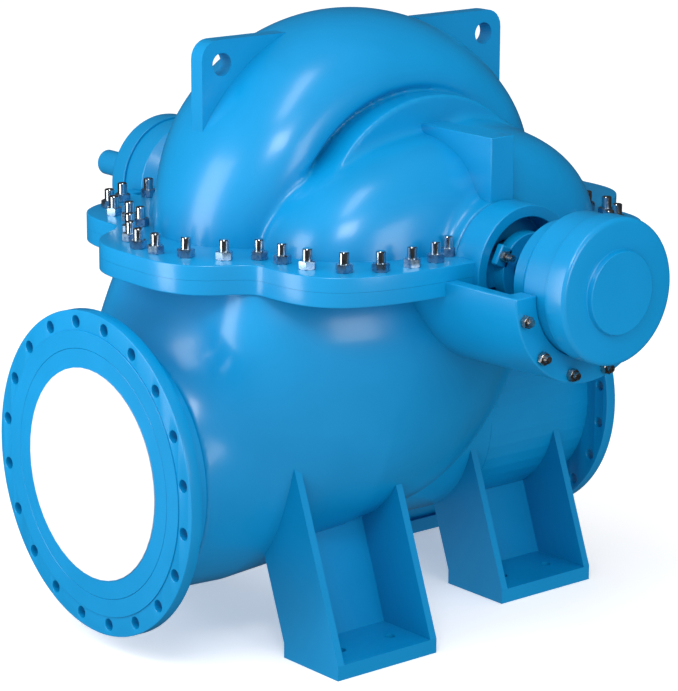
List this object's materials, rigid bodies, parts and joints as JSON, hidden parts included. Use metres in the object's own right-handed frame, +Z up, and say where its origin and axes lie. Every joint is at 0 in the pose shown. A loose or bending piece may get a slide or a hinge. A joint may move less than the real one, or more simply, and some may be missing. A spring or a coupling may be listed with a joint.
{
  "type": "double suction pump",
  "caption": "Horizontal split-case double suction water pump on its own feet, with suction and discharge flanges on opposite sides and a shaft end for a drive.",
  "frame": {"origin": "on the floor, under the centre of the pump's outline", "axes": "+Z up, +Y along the shaft to the drive end, +X towards the discharge flange"},
  "size_m": [1.5033, 1.9936, 1.4629],
  "materials": {
    "sky_blue_paint": "gloss",
    "white_plate": "satin"
  },
  "bodies": {
    "casing": {"bearing_bracket_far": "sky_blue_paint", "bearing_bracket_near": "sky_blue_paint", "bearing_cover_far": "sky_blue_paint", "bearing_cover_near": "sky_blue_paint", "bearing_housing_far": "sky_blue_paint", "bearing_housing_near": "sky_blue_paint", "discharge_flange": "sky_blue_paint", "discharge_neck": "sky_blue_paint", "foot_discharge_far": "sky_blue_paint", "foot_discharge_near": "sky_blue_paint", "foot_suction_far": "sky_blue_paint", "foot_suction_near": "sky_blue_paint", "gland_far": "sky_blue_paint", "gland_near": "sky_blue_paint", "lifting_plate_discharge": "sky_blue_paint", "lifting_plate_suction": "sky_blue_paint", "lower_casing": "sky_blue_paint", "rib_far": "sky_blue_paint", "rib_near": "sky_blue_paint", "stuffing_box_far": "sky_blue_paint", "stuffing_box_near": "sky_blue_paint", "suction_cover": "sky_blue_paint", "suction_cover_plate": "white_plate", "suction_flange": "sky_blue_paint", "suction_neck": "sky_blue_paint", "upper_casing": "sky_blue_paint"},
    "rotor": {"shaft": "sky_blue_paint"}
  },
  "joints": [
    {"name": "shaft_spin", "type": "hinge", "parent": "casing", "child": "rotor", "pos_m": [0.0387, -0.0502, 0.926], "axis": [0, 1, 0], "continuous": true}
  ]
}
